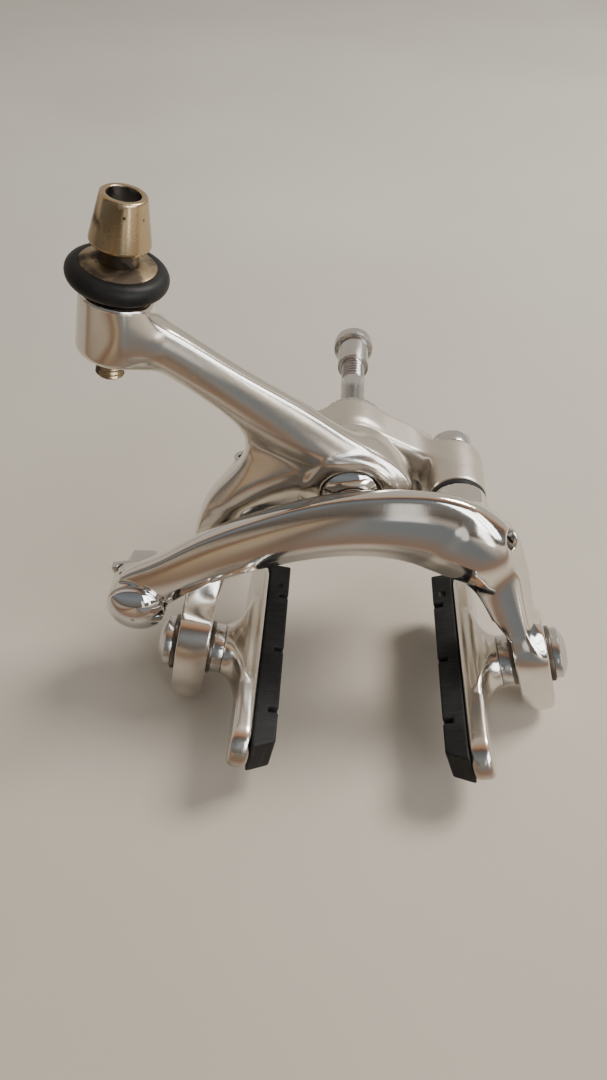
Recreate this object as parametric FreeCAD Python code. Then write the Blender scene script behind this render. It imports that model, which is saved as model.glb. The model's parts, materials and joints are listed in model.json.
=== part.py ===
import FreeCAD, Part

import math
import os

from FreeCAD import Rotation, Vector

# Dual-pivot rim brake caliper for a road bicycle, in millimetres, as it rests with no cable:
# sprung fully open. +X is to the right seen from the front, +Y runs back along the mounting
# bolt into the fork, +Z is up. The origin is on the bolt's axis, at the face that meets the fork.

os.makedirs("parts", exist_ok=True)

# ---- driving dimensions ----
RUNNING_GAP = 0.05      # radial play of a shaft in its hole, and play between parts that slide
BOLT_R = 3.0            # M6 mounting bolt
JOURNAL_R = 4.0         # pivot journals
BUSH_WALL = 1.0
WASHER_THICKNESS = 1.5  # serrated washer on the fork side
PLATE_FRONT = -11.5     # front face of the bridge's plate
HUB_FRONT = -26.0       # front face of the cable-stop arm's hub
FRONT_ARM_REAR = -29.5  # rear face of the front arm
FRONT_ARM_FACE = -39.0  # front face of the front arm
SIDE_X, SIDE_Z = 24.0, -4.0     # side pivot's axis
ROLLER_X, ROLLER_Z = 14.0, -7.4   # axis of the link roller between the two pivots
LEFT_TILT = 11.0        # how far each arm has swung out from its closed place, in degrees
RIGHT_TILT = 17.0
SHOE_Y = -39.5          # axis of both pad bolts
LEFT_SHOE = Vector(-36.3, SHOE_Y, -37.6)    # middle of each arm's slot
RIGHT_SHOE = Vector(44.3, SHOE_Y, -36.8)
ADJUSTER_START = Vector(-48.5, -26.0, 29.7)   # lower end of the cable adjuster's screw
ADJUSTER_TILT = 13.2    # the adjuster leans in at the top by this, in degrees
ANCHOR_X, ANCHOR_Z = -49.1, -26.7   # cable anchor's axis

BACK = Vector(0, 1, 0)
FORWARD = Vector(0, -1, 0)
UP = Vector(0, 0, 1)
BUSH_R = JOURNAL_R + RUNNING_GAP + BUSH_WALL


def save(node, shape):
    """Write one node, and say if it isn't one sound solid per piece."""
    if not shape.isValid():
        print("not valid:", node)
    print(f"{node}: {len(shape.Solids)} solid, {shape.Volume:.1f} mm3")
    shape.exportStep(f"parts/{node}.step")


def place(shape, origin, direction):
    """Move a shape made along +Z so that it starts at origin and runs along direction."""
    moved = shape.copy()
    moved.Placement = FreeCAD.Placement(origin, Rotation(UP, direction)).multiply(moved.Placement)
    return moved


def rod(radius, start, end):
    """A solid cylinder between two points."""
    along = end.sub(start)
    return Part.makeCylinder(radius, along.Length, start, along)


def on_axis(x, z, radius, y_from, y_to):
    """A cylinder along Y at (x, z)."""
    return rod(radius, Vector(x, y_from, z), Vector(x, y_to, z))


def turned(profile):
    """Turn a closed outline of (radius, height) points about +Z."""
    points = [Vector(radius, 0, height) for radius, height in profile]
    face = Part.Face(Part.makePolygon(points + [points[0]]))
    return face.revolve(Vector(0, 0, 0), UP, 360)


def ring(outer, inner, height):
    return Part.makeCylinder(outer, height).cut(Part.makeCylinder(inner, height))


def hex_prism(across_flats, height):
    corner_r = across_flats / math.sqrt(3)
    corners = [Vector(corner_r * math.cos(math.radians(60 * i)),
                      corner_r * math.sin(math.radians(60 * i)), 0) for i in range(7)]
    return Part.Face(Part.makePolygon(corners)).extrude(Vector(0, 0, height))


def dome(radius, rim_height, crown):
    """A button: a short drum with a spherical crown, made along +Z."""
    ball_r = (radius ** 2 + crown ** 2) / (2 * crown)
    ball = Part.makeSphere(ball_r, Vector(0, 0, rim_height + crown - ball_r))
    drum = Part.makeCylinder(radius, rim_height + crown)
    return drum.common(ball)


def rounded_section(centre, along, width, depth):
    """A rounded rectangle square to `along` (which lies in XZ): width in XZ, depth in Y."""
    radius = 0.38 * min(width, depth)
    bulge = radius * (1 - math.sqrt(0.5))
    across = Vector(along.z, 0, -along.x).normalize()
    half_w, half_d = width / 2, depth / 2

    def at(a, b):
        return centre.add(Vector(across).multiply(a)).add(Vector(0, b, 0))

    corners = []
    for sign_a, sign_b in ((1, 1), (-1, 1), (-1, -1), (1, -1)):
        on_side = at(sign_a * half_w, sign_b * (half_d - radius))
        middle = at(sign_a * (half_w - bulge), sign_b * (half_d - bulge))
        on_face = at(sign_a * (half_w - radius), sign_b * half_d)
        corner = (on_side, middle, on_face)
        corners.append(corner if sign_a == sign_b else corner[::-1])
    edges = []
    for corner, following in zip(corners, corners[1:] + corners[:1]):
        edges.append(Part.Arc(*corner).toShape())
        edges.append(Part.LineSegment(corner[2], following[0]).toShape())
    return Part.Wire(edges)


def limb(stations):
    """A smooth forged limb through stations of (x, y, z, width, depth)."""
    centres = [Vector(x, y, z) for x, y, z, width, depth in stations]
    sections = []
    for i, (x, y, z, width, depth) in enumerate(stations):
        before = centres[max(i - 1, 0)]
        after = centres[min(i + 1, len(centres) - 1)]
        along = after.sub(before)
        along.y = 0
        sections.append(rounded_section(centres[i], along, width, depth))
    return Part.makeLoft(sections, True, False)


def stadium(radius, travel, height):
    """A slot's shape along Z and X: its straight length is `travel`, extruded along +X."""
    ends = [Part.makeCylinder(radius, height, Vector(0, 0, sign * travel / 2), Vector(1, 0, 0))
            for sign in (1, -1)]
    middle = Part.makeBox(height, 2 * radius, travel, Vector(0, -radius, -travel / 2))
    return ends[0].fuse(ends[1]).fuse(middle)


# ---- shoe frame: local +X runs out along the pad bolt, +Y back, +Z up the arm's slot ----
def at_shoe(shape, left):
    """Move a shape from the shoe frame of the right side to either side."""
    moved = shape.copy()
    if left:
        moved = moved.mirror(Vector(0, 0, 0), Vector(1, 0, 0))
        moved.rotate(Vector(0, 0, 0), BACK, LEFT_TILT)
        moved.translate(LEFT_SHOE)
    else:
        moved.rotate(Vector(0, 0, 0), BACK, -RIGHT_TILT)
        moved.translate(RIGHT_SHOE)
    return moved


# ---- brake shoes ----
ARM_HALF = 3.8          # half the arm's thickness at its slot
SLOT_TRAVEL = 8.0       # how far a shoe can be moved up and down its slot
FACE_R = 6.9            # spot face round the slot
OUTER_WASHER = 1.0
THIN_WASHER = 0.8
COLLAR = 2.5            # spherical washer pair between the thin washer and the shoe
SHOE_FACE = ARM_HALF + THIN_WASHER + COLLAR + 2 * RUNNING_GAP
HOLDER_BACK = 11.6      # back of the holder's thin flange, from the arm's middle
HOLDER_FRONT = 16.2     # edge where the rubber comes out of the holder
PAD_FACE = 21.4         # braking face of the rubber
HOLDER_HALF_H = 6.0
HOLDER_LENGTH = 57.0
PAD_LENGTH = 54.6
PAD_HALF_H = 5.3
CHANNEL_DEPTH = 2.6     # how deep the rubber sits in the holder
ROOT_HALF_H = 4.5       # the rubber is narrower there
ROOT_SETBACK = 4.0      # the holder is closed over this much of the rubber's front end
GROOVE_PITCH, GROOVE_WIDTH, GROOVE_DEPTH = 17.0, 1.2, 2.4
SHOE_FORWARD = 1.6      # the shoe's middle is this far in front of its bolt
HEAD_R = 6.0


def pad_holder():
    middle = -SHOE_FORWARD
    rear = middle + HOLDER_LENGTH / 2
    front = middle - HOLDER_LENGTH / 2
    thickness = HOLDER_FRONT - HOLDER_BACK
    flange = Part.makeBox(thickness, HOLDER_LENGTH - 2 * HOLDER_HALF_H, 2 * HOLDER_HALF_H,
                          Vector(-HOLDER_FRONT, front + HOLDER_HALF_H, -HOLDER_HALF_H))
    for y in (rear - HOLDER_HALF_H, front + HOLDER_HALF_H):
        end = Part.makeCylinder(HOLDER_HALF_H, thickness, Vector(-HOLDER_FRONT, y, 0), Vector(1, 0, 0))
        flange = flange.fuse(end)
    boss = Part.makeCone(10.5, 6.2, HOLDER_BACK - SHOE_FACE + 0.5,
                         Vector(-HOLDER_BACK - 0.5, 0, 0), Vector(1, 0, 0))
    slab = Part.makeBox(40, 40, 2 * HOLDER_HALF_H, Vector(-30, -20, -HOLDER_HALF_H))
    holder = flange.fuse(boss.common(slab))
    # the channel for the rubber is open at the rear end, where a worn pad is drawn out
    channel = Part.makeBox(CHANNEL_DEPTH, PAD_LENGTH, 2 * ROOT_HALF_H,
                           Vector(-HOLDER_FRONT, middle - PAD_LENGTH / 2 + ROOT_SETBACK, -ROOT_HALF_H))
    thread = rod(BOLT_R + RUNNING_GAP, Vector(-HOLDER_BACK - 1.8, 0, 0), Vector(0, 0, 0))
    return holder.cut(channel).cut(thread).removeSplitter()


def brake_pad():
    middle = -SHOE_FORWARD
    front = middle - PAD_LENGTH / 2
    root = Part.makeBox(CHANNEL_DEPTH, PAD_LENGTH - ROOT_SETBACK, 2 * ROOT_HALF_H,
                        Vector(-HOLDER_FRONT, front + ROOT_SETBACK, -ROOT_HALF_H))
    outline = [(-HOLDER_FRONT, front), (-HOLDER_FRONT, front + PAD_LENGTH),
               (-PAD_FACE, front + PAD_LENGTH), (-PAD_FACE, front + 2.4)]
    corners = [Vector(x, y, -PAD_HALF_H) for x, y in outline]
    block = Part.Face(Part.makePolygon(corners + [corners[0]])).extrude(Vector(0, 0, 2 * PAD_HALF_H))
    pad = block.fuse(root)
    for i in (-1, 0, 1):
        groove_y = middle + i * GROOVE_PITCH - GROOVE_WIDTH / 2
        groove = Part.makeBox(GROOVE_DEPTH + 1, GROOVE_WIDTH, 2 * PAD_HALF_H + 2,
                              Vector(-PAD_FACE - 1, groove_y, -PAD_HALF_H - 1))
        pad = pad.cut(groove)
    return pad.removeSplitter()


def pad_bolt():
    head_start = ARM_HALF + OUTER_WASHER + 2 * RUNNING_GAP
    head = place(dome(HEAD_R, 1.6, 1.9), Vector(head_start, 0, 0), Vector(1, 0, 0))
    socket = place(hex_prism(5.0, 3), Vector(head_start + 1.3, 0, 0), Vector(1, 0, 0))
    shank = rod(BOLT_R, Vector(-HOLDER_BACK - 1.3, 0, 0), Vector(head_start, 0, 0))
    return head.cut(socket).fuse(shank)


def washer_on_bolt(radius, start, thickness):
    return place(ring(radius, BOLT_R + 2 * RUNNING_GAP, thickness), Vector(start, 0, 0), Vector(1, 0, 0))


def ball_washer():
    """Convex half of the spherical washer pair: it lets the shoe be squared to the rim."""
    start = -ARM_HALF - THIN_WASHER - RUNNING_GAP
    drum = washer_on_bolt(5.9, start - COLLAR, COLLAR)
    return drum.common(ball_shape(start))


def ball_shape(start):
    return Part.makeSphere(8.0, Vector(start + 8.0 - COLLAR * 0.9, 0, 0))


def cup_washer():
    """Concave half, which stands on the holder's boss."""
    start = -ARM_HALF - THIN_WASHER - RUNNING_GAP
    drum = washer_on_bolt(5.9, start - COLLAR, COLLAR)
    return drum.cut(ball_shape(start))


def make_shoes():
    for side, left in (("left", True), ("right", False)):
        save(f"{side}_pad_holder", at_shoe(pad_holder(), left))
        save(f"{side}_brake_pad", at_shoe(brake_pad(), left))
        save(f"{side}_pad_bolt", at_shoe(pad_bolt(), left))
        outer = washer_on_bolt(6.5, ARM_HALF + RUNNING_GAP, OUTER_WASHER)
        inner = washer_on_bolt(6.3, -ARM_HALF - THIN_WASHER - RUNNING_GAP, THIN_WASHER)
        save(f"{side}_outer_washer", at_shoe(outer, left))
        save(f"{side}_inner_washer", at_shoe(inner, left))
        save(f"{side}_ball_washer", at_shoe(ball_washer(), left))
        save(f"{side}_cup_washer", at_shoe(cup_washer(), left))


def cut_shoe_slot(arm, left):
    """Cut the pad bolt's slot and the flat seats on both sides of it."""
    slot = stadium(BOLT_R + 3 * RUNNING_GAP, SLOT_TRAVEL, 30)
    slot.translate(Vector(-15, 0, 0))
    seat = stadium(FACE_R, SLOT_TRAVEL, 10)
    outside = seat.copy()
    outside.translate(Vector(ARM_HALF, 0, 0))
    inside = seat.copy()
    inside.translate(Vector(-ARM_HALF - 10, 0, 0))
    for tool in (slot, outside, inside):
        arm = arm.cut(at_shoe(tool, left))
    return arm


# ---- bridge: the fixed part that carries both pivots ----
BRIDGE_HUB_R = 8.0
SIDE_BOSS_R = 6.5
SIDE_BOSS_REAR, SIDE_BOSS_FRONT = -8.0, -22.0
SIDE_HEAD_R, SIDE_HEAD_FRONT = 5.0, -6.0    # head of the side pivot bolt
SPRING_R = 7.2          # mean radius of the return spring's coils
SPRING_WIRE_R = 0.9
SPRING_END_Y = -15.6    # where the spring's moving end lies


def web_between(first, second, y_from, y_to):
    """A plate whose outline wraps two circles (x, z, r)."""
    (x1, z1, r1), (x2, z2, r2) = first, second
    length = math.hypot(x2 - x1, z2 - z1)
    heading = math.atan2(z2 - z1, x2 - x1)
    lean = math.acos((r1 - r2) / length)
    corners = []
    for x, z, r, side in ((x1, z1, r1, 1), (x2, z2, r2, 1), (x2, z2, r2, -1), (x1, z1, r1, -1)):
        angle = heading + side * lean
        corners.append(Vector(x + r * math.cos(angle), y_from, z + r * math.sin(angle)))
    plate = Part.Face(Part.makePolygon(corners + [corners[0]])).extrude(Vector(0, y_to - y_from, 0))
    plate = plate.fuse(on_axis(x1, z1, r1, y_from, y_to))
    return plate.fuse(on_axis(x2, z2, r2, y_from, y_to))


def bridge():
    rear = -WASHER_THICKNESS
    hub = (0, 0, BRIDGE_HUB_R)
    body = web_between(hub, (SIDE_X, SIDE_Z - 6.5, 6.4), rear, PLATE_FRONT)
    body = body.fuse(web_between(hub, (-17.0, -3.0, 4.5), rear, -8.5))
    body = body.fuse(on_axis(-SPRING_R, 0, 3.0, rear, PLATE_FRONT))
    body = body.fuse(on_axis(SIDE_X, SIDE_Z, SIDE_BOSS_R, SIDE_BOSS_REAR, SIDE_BOSS_FRONT))
    bolt_hole = on_axis(0, 0, JOURNAL_R + RUNNING_GAP, rear + 1, PLATE_FRONT - 1)
    side_thread = on_axis(SIDE_X, SIDE_Z, JOURNAL_R + 0.02, rear + 1, SIDE_BOSS_FRONT - 1)
    head_recess = on_axis(SIDE_X, SIDE_Z, SIDE_HEAD_R + 0.6, rear + 1, SIDE_HEAD_FRONT)
    spring_hole = on_axis(-SPRING_R, 0, SPRING_WIRE_R + 0.1, -7.0, PLATE_FRONT - 1)
    for tool in (bolt_hole, side_thread, head_recess, spring_hole, roller_clearance()):
        body = body.cut(tool)
    return body.removeSplitter()


def roller_clearance():
    """The way of the roller, which swings up beside the side boss as the arms close."""
    lower = on_axis(ROLLER_X, ROLLER_Z, 4.0, -13.0, -23.0)
    upper = on_axis(ROLLER_X, ROLLER_Z + 6.0, 4.0, -13.0, -23.0)
    between = Part.makeBox(8.0, 10.0, 6.0, Vector(ROLLER_X - 4.0, -23.0, ROLLER_Z))
    return lower.fuse(upper).fuse(between)


# ---- centre bolt, its cap and washers, and the recessed nut ----
SHANK_END = 17.5        # end of the plain shank, which fills the fork's hole
THREAD_R = 2.7          # pitch radius of the M6 thread
SPIGOT_R = 2.4          # front end of the bolt, which holds the cap
BOLT_END = 31.0
NUT_START, NUT_FLANGE, NUT_END = 24.8, 33.5, 36.2
CAP_R = 6.3


def centre_bolt():
    journal = on_axis(0, 0, JOURNAL_R, 0, HUB_FRONT + 1.05)
    spigot = on_axis(0, 0, SPIGOT_R, HUB_FRONT - 0.6, HUB_FRONT + 2)
    shank = on_axis(0, 0, BOLT_R, -1, SHANK_END)
    thread = on_axis(0, 0, THREAD_R, SHANK_END - 1, BOLT_END)
    return journal.fuse(spigot).fuse(shank).fuse(thread).removeSplitter()


def centre_cap():
    cap = place(dome(CAP_R, 1.0, 2.3), Vector(0, HUB_FRONT + 1.05, 0), FORWARD)
    return cap.cut(on_axis(0, 0, SPIGOT_R + 0.02, HUB_FRONT + 2, HUB_FRONT - 0.6))


def recessed_nut():
    sleeve = on_axis(0, 0, 4.0, NUT_START, NUT_FLANGE)
    flange = on_axis(0, 0, 5.15, NUT_FLANGE, NUT_END)
    bore = on_axis(0, 0, THREAD_R + RUNNING_GAP, NUT_START - 1, BOLT_END + 0.6)
    socket = place(hex_prism(5.0, 4), Vector(0, NUT_END - 3.4, 0), BACK)
    return sleeve.fuse(flange).cut(bore).cut(socket)


def mount_washer():
    """Washer with radial serrations on the fork side, which keep the caliper square."""
    washer = place(ring(BRIDGE_HUB_R - 0.2, JOURNAL_R + RUNNING_GAP, WASHER_THICKNESS),
                   Vector(0, -WASHER_THICKNESS, 0), BACK)
    for i in range(16):
        groove = Part.makeBox(6, 0.5, 0.5, Vector(4.6, -0.4, -0.25))
        groove.rotate(Vector(0, 0, 0), BACK, i * 22.5 + 11.25)
        washer = washer.cut(groove)
    return washer


# ---- cable-stop arm: from the adjuster's boss over the centre pivot to the left shoe ----
UPPER_ARM = [(-44.0, -26.6, 40.2, 11.0, 10.8), (-38.0, -26.4, 36.9, 9.8, 8.4),
             (-31.0, -25.6, 31.4, 9.6, 7.8), (-22.5, -24.3, 24.0, 10.6, 7.8),
             (-12.5, -22.7, 15.2, 12.4, 8.2), (-3.0, -20.9, 7.2, 13.0, 10.0),
             (5.0, -19.1, 2.6, 12.0, 13.4), (11.2, -19.1, -0.2, 7.6, 13.4),
             (13.8, -19.1, -0.9, 4.0, 12.6)]
LEFT_LEG = [(-5.0, -19.1, 1.0, 16.0, 12.6), (-16.5, -20.0, 0.6, 15.0, 12.4),
            (-24.6, -20.8, -4.4, 12.6, 12.0), (-29.6, -21.6, -12.0, 11.0, 11.6),
            (-32.4, -23.2, -20.6, 9.4, 11.4), (-34.2, -30.2, -27.8, 7.8, 12.2),
            (-35.3, -37.4, -32.6, 7.5, 13.0), (-36.3, -39.5, -37.6, 7.5, 13.2),
            (-38.0, -39.5, -46.4, 7.0, 13.2), (-39.2, -39.5, -52.4, 5.4, 10.6),
            (-39.6, -39.5, -54.2, 4.4, 6.4)]
WEB_OUTLINE_TOP = Vector(-27.5, 0, 23.0)
WAIST = Vector(-22.8, 0, 9.0)
WEB_OUTLINE_FOOT = Vector(-24.6, 0, -1.0)


def adjuster_point(height):
    """A point on the adjuster's axis, at a height above the screw's lower end."""
    lean = math.radians(ADJUSTER_TILT)
    return ADJUSTER_START.add(Vector(height * math.sin(lean), 0, height * math.cos(lean)))


ADJUSTER_AXIS = adjuster_point(1.0).sub(ADJUSTER_START)
BOSS_BOTTOM, BOSS_TOP = 5.2, 17.4
BOSS_R = 6.8
STEM_R = 2.8
TENSION_SCREW = (-24.4, -18.0)      # where the tension screw stands, in X and Y


def web_of_arm():
    """Thin triangular web between the upper arm and the left leg, hollow-cut at the waist."""
    waist = Part.Arc(WEB_OUTLINE_TOP, WAIST, WEB_OUTLINE_FOOT).toShape()
    inner = Part.makePolygon([WEB_OUTLINE_FOOT, Vector(-4, 0, -2), Vector(-2, 0, 8), WEB_OUTLINE_TOP])
    face = Part.Face(Part.Wire([waist] + inner.Edges))
    web = face.extrude(Vector(0, 8.6, 0))
    web.translate(Vector(0, -24.8, 0))
    return web


def y_arm():
    arm = limb(UPPER_ARM).fuse(limb(LEFT_LEG)).fuse(web_of_arm())
    arm = arm.fuse(on_axis(0, 0, 9.5, PLATE_FRONT - 0.7, HUB_FRONT))
    boss = rod(BOSS_R, adjuster_point(BOSS_BOTTOM), adjuster_point(BOSS_TOP))
    arm = arm.fuse(boss)
    above = rod(BOSS_R + 3, adjuster_point(BOSS_TOP), adjuster_point(BOSS_TOP + 8))
    screw_hole = rod(STEM_R + 0.1, adjuster_point(0), adjuster_point(BOSS_TOP + 1))
    bush_hole = on_axis(0, 0, BUSH_R, PLATE_FRONT, HUB_FRONT - 1)
    cap_recess = on_axis(0, 0, CAP_R + 0.6, HUB_FRONT + 1.5, HUB_FRONT - 6)
    groove_shape = on_axis(0, 0, SPRING_R + 1.4, PLATE_FRONT, -17.2)
    groove_shape = groove_shape.cut(on_axis(0, 0, BUSH_R + 0.7, PLATE_FRONT, -17.2))
    spring_way = Part.makeBox(22.5, 6.2, 3.0, Vector(-22.5, -17.6, -SPRING_R - 1.5))
    tension_hole = rod(2.0 + RUNNING_GAP, Vector(*TENSION_SCREW, -14), Vector(*TENSION_SCREW, 8))
    tools = (above, screw_hole, bush_hole, cap_recess, groove_shape, spring_way, tension_hole)
    for tool in tools:
        arm = arm.cut(tool)
    # nothing of the arm stands behind the bridge's front face, or in the way of the front arm
    behind = Part.makeBox(40, 12, 60, Vector(-20, PLATE_FRONT - 0.7, -30))
    in_front = Part.makeBox(50, 12, 32, Vector(-25, FRONT_ARM_REAR - 11.3, -12))
    return cut_shoe_slot(arm.cut(behind).cut(in_front), True).removeSplitter()



def tension_screw():
    screw = rod(2.0, Vector(*TENSION_SCREW, -9.0), Vector(*TENSION_SCREW, 3.4))
    socket = place(hex_prism(2.0, 3), Vector(*TENSION_SCREW, 1.4), UP)
    return screw.cut(socket)


def spring_holder():
    """Plastic shoe for the moving end of the return spring."""
    block = Part.makeBox(4.0, 4.6, 2.6, Vector(-22.3, -17.4, -SPRING_R - 1.3))
    wire_hole = rod(SPRING_WIRE_R + 0.08, Vector(-21.0, SPRING_END_Y, -SPRING_R),
                    Vector(-17, SPRING_END_Y, -SPRING_R))
    return block.cut(wire_hole)


def return_spring():
    """Close coils in the arm's rear groove, one end in the bridge and one in the plastic holder."""
    coils = flat_washer(0, 0, SPRING_R + SPRING_WIRE_R, SPRING_R - SPRING_WIRE_R, -13.0, -16.6)
    end_r = SPRING_WIRE_R - 0.05
    fixed_end = rod(end_r, Vector(-SPRING_R, -14.0, 0), Vector(-SPRING_R, -7.4, 0))
    moving_end = rod(end_r, Vector(-2.0, SPRING_END_Y, -SPRING_R), Vector(-20.6, SPRING_END_Y, -SPRING_R))
    return coils.fuse(fixed_end).fuse(moving_end)


def bush(x, z, y_from, y_to):
    shell = on_axis(x, z, BUSH_R, y_from, y_to)
    return shell.cut(on_axis(x, z, JOURNAL_R + RUNNING_GAP, y_from, y_to))


# ---- cable adjuster ----
WHEEL_BOTTOM, O_RING_HEIGHT, WHEEL_TOP = 18.9, 21.3, 24.1
CONE_BOTTOM, ADJUSTER_TOP = 27.8, 36.0
O_RING_R, O_RING_WIRE_R = 7.3, 2.0
HOUSING_R, HOUSING_DEPTH = 2.95, 8.5
WIRE_R = 1.1


def on_adjuster(shape):
    return place(shape, ADJUSTER_START, ADJUSTER_AXIS)


def adjuster_barrel():
    """Threaded stem, neck and conical housing stop, with the cable's hole right through."""
    outline = [(0, 0), (STEM_R - 0.4, 0), (STEM_R, 0.4), (STEM_R, WHEEL_TOP), (3.6, WHEEL_TOP),
               (3.6, CONE_BOTTOM - 0.6), (5.1, CONE_BOTTOM - 0.6), (5.45, CONE_BOTTOM),
               (4.05, ADJUSTER_TOP - 0.3), (3.75, ADJUSTER_TOP), (0, ADJUSTER_TOP)]
    seat = Part.makeCylinder(HOUSING_R, HOUSING_DEPTH + 1, Vector(0, 0, ADJUSTER_TOP - HOUSING_DEPTH))
    wire = Part.makeCylinder(WIRE_R, ADJUSTER_TOP + 2, Vector(0, 0, -1))
    return on_adjuster(turned(outline).cut(seat).cut(wire))


def o_ring():
    return Part.makeTorus(O_RING_R, O_RING_WIRE_R, Vector(0, 0, O_RING_HEIGHT), UP)


def adjuster_wheel():
    """Finger wheel pressed on the stem, with a groove that holds the O-ring."""
    outline = [(STEM_R, WHEEL_BOTTOM), (6.6, WHEEL_BOTTOM), (7.2, WHEEL_BOTTOM + 1), (7.2, WHEEL_TOP - 1.6),
               (6.8, WHEEL_TOP - 1.0), (4.2, WHEEL_TOP - 0.1), (STEM_R, WHEEL_TOP - 0.1)]
    return on_adjuster(turned(outline).cut(o_ring()))


def adjuster_washer():
    washer = ring(5.8, STEM_R + 0.1, WHEEL_BOTTOM - BOSS_TOP - 2 * RUNNING_GAP)
    washer.translate(Vector(0, 0, BOSS_TOP + RUNNING_GAP))
    return on_adjuster(washer)


# ---- front arm: from the cable anchor across the front to the right shoe ----
FRONT_ARM = [(-52.6, -34.0, -28.6, 8.6, 7.4), (-49.0, -34.0, -26.0, 11.8, 8.8),
             (-41.0, -34.1, -19.8, 11.4, 9.0), (-31.0, -34.2, -13.0, 11.8, 9.4),
             (-18.0, -34.3, -6.6, 13.4, 9.6), (-3.0, -34.3, -2.0, 15.6, 9.6),
             (10.0, -34.3, -1.4, 18.0, 9.6), (20.5, -34.5, -3.6, 19.6, 10.0),
             (28.4, -35.2, -8.2, 16.4, 10.8), (34.0, -36.6, -15.6, 12.0, 11.8),
             (38.8, -38.2, -25.0, 8.8, 12.6), (42.8, -39.3, -33.0, 7.6, 13.2),
             (46.4, -39.5, -43.6, 7.4, 13.2), (49.0, -39.5, -51.2, 5.8, 10.8),
             (49.7, -39.5, -53.2, 4.6, 6.4)]
CENTRING_MOUTH = Vector(34.4, -36.2, -1.2)      # where the centring screw's hole opens
CENTRING_AXIS = Vector(0.66, 0, 0.75).normalize()
SIDE_BORE_END = -33.4
PIN_R = 1.5
DOME_R = 6.6            # head of the cable anchor
DOME_SEAT = FRONT_ARM_FACE + 0.8
ANCHOR_BOLT_R = 2.5


def c_arm():
    arm = limb(FRONT_ARM)
    arm = arm.fuse(on_axis(SIDE_X, SIDE_Z, SIDE_BOSS_R + 0.1, -23.5, FRONT_ARM_REAR - 4))
    arm = arm.fuse(on_axis(ANCHOR_X, ANCHOR_Z, DOME_R, FRONT_ARM_REAR, DOME_SEAT))
    bush_hole = on_axis(SIDE_X, SIDE_Z, BUSH_R, -22.0, SIDE_BORE_END)
    pin_hole = on_axis(ROLLER_X, ROLLER_Z, PIN_R, -28.0, -34.0)
    anchor_hole = on_axis(ANCHOR_X, ANCHOR_Z, ANCHOR_BOLT_R + 0.02, -20.0, -45.0)
    depth = Vector(CENTRING_AXIS).multiply(-6.0)
    mouth = Vector(CENTRING_AXIS).multiply(6.0)
    centring_hole = rod(1.9 + RUNNING_GAP, CENTRING_MOUTH.add(depth), CENTRING_MOUTH.add(mouth))
    anchor_seat = on_axis(ANCHOR_X, ANCHOR_Z, DOME_R + 0.4, DOME_SEAT, -45.0)
    for tool in (bush_hole, pin_hole, anchor_hole, anchor_seat, centring_hole):
        arm = arm.cut(tool)
    return cut_shoe_slot(arm, False).removeSplitter()


def centring_screw():
    start = CENTRING_MOUTH.add(Vector(CENTRING_AXIS).multiply(-5.9))
    end = CENTRING_MOUTH.add(Vector(CENTRING_AXIS).multiply(-1.0))
    socket = place(hex_prism(2.0, 3), end.sub(Vector(CENTRING_AXIS).multiply(1.6)), CENTRING_AXIS)
    return rod(1.9, start, end).cut(socket)


def side_pivot_bolt():
    journal = on_axis(SIDE_X, SIDE_Z, JOURNAL_R, -5.9, SIDE_BORE_END + 0.5)
    head = on_axis(SIDE_X, SIDE_Z, SIDE_HEAD_R, -2.6, SIDE_HEAD_FRONT)
    socket = place(hex_prism(4.0, 3), Vector(SIDE_X, -4.8, SIDE_Z), BACK)
    return journal.fuse(head).cut(socket)


def link_roller():
    return flat_washer(ROLLER_X, ROLLER_Z, 2.9, PIN_R + RUNNING_GAP, -14.4, -21.6)


def flat_washer(x, z, outer, inner, y_from, y_to):
    return on_axis(x, z, outer, y_from, y_to).cut(on_axis(x, z, inner, y_from, y_to))


# ---- cable anchor: a domed bolt in front, a clamp plate and a nut behind ----
CLAMP_REAR = -27.6
ANCHOR_NUT_REAR = -23.6


def anchor_bolt():
    head = place(dome(DOME_R, 0.8, 3.0), Vector(ANCHOR_X, DOME_SEAT, ANCHOR_Z), FORWARD)
    shank = on_axis(ANCHOR_X, ANCHOR_Z, ANCHOR_BOLT_R, DOME_SEAT, ANCHOR_NUT_REAR + 0.6)
    return head.fuse(shank).removeSplitter()


def anchor_clamp():
    """Square clamp plate with the groove in which the cable is gripped."""
    plate = Part.makeBox(12.0, CLAMP_REAR - FRONT_ARM_REAR, 11.0, Vector(-6.0, 0, -5.5))
    plate = plate.cut(Part.makeCylinder(ANCHOR_BOLT_R + 0.02, 5, Vector(0, -1, 0), BACK))
    plate = plate.cut(Part.makeCylinder(0.9, 14, Vector(-3.6, 0, -7), UP))
    plate.rotate(Vector(0, 0, 0), BACK, -12)
    plate.translate(Vector(ANCHOR_X, FRONT_ARM_REAR, ANCHOR_Z))
    return plate


def anchor_nut():
    nut = place(hex_prism(9.0, ANCHOR_NUT_REAR - CLAMP_REAR), Vector(ANCHOR_X, CLAMP_REAR, ANCHOR_Z), BACK)
    return nut.cut(on_axis(ANCHOR_X, ANCHOR_Z, ANCHOR_BOLT_R + 0.02, CLAMP_REAR - 1, ANCHOR_NUT_REAR + 1))


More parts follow.
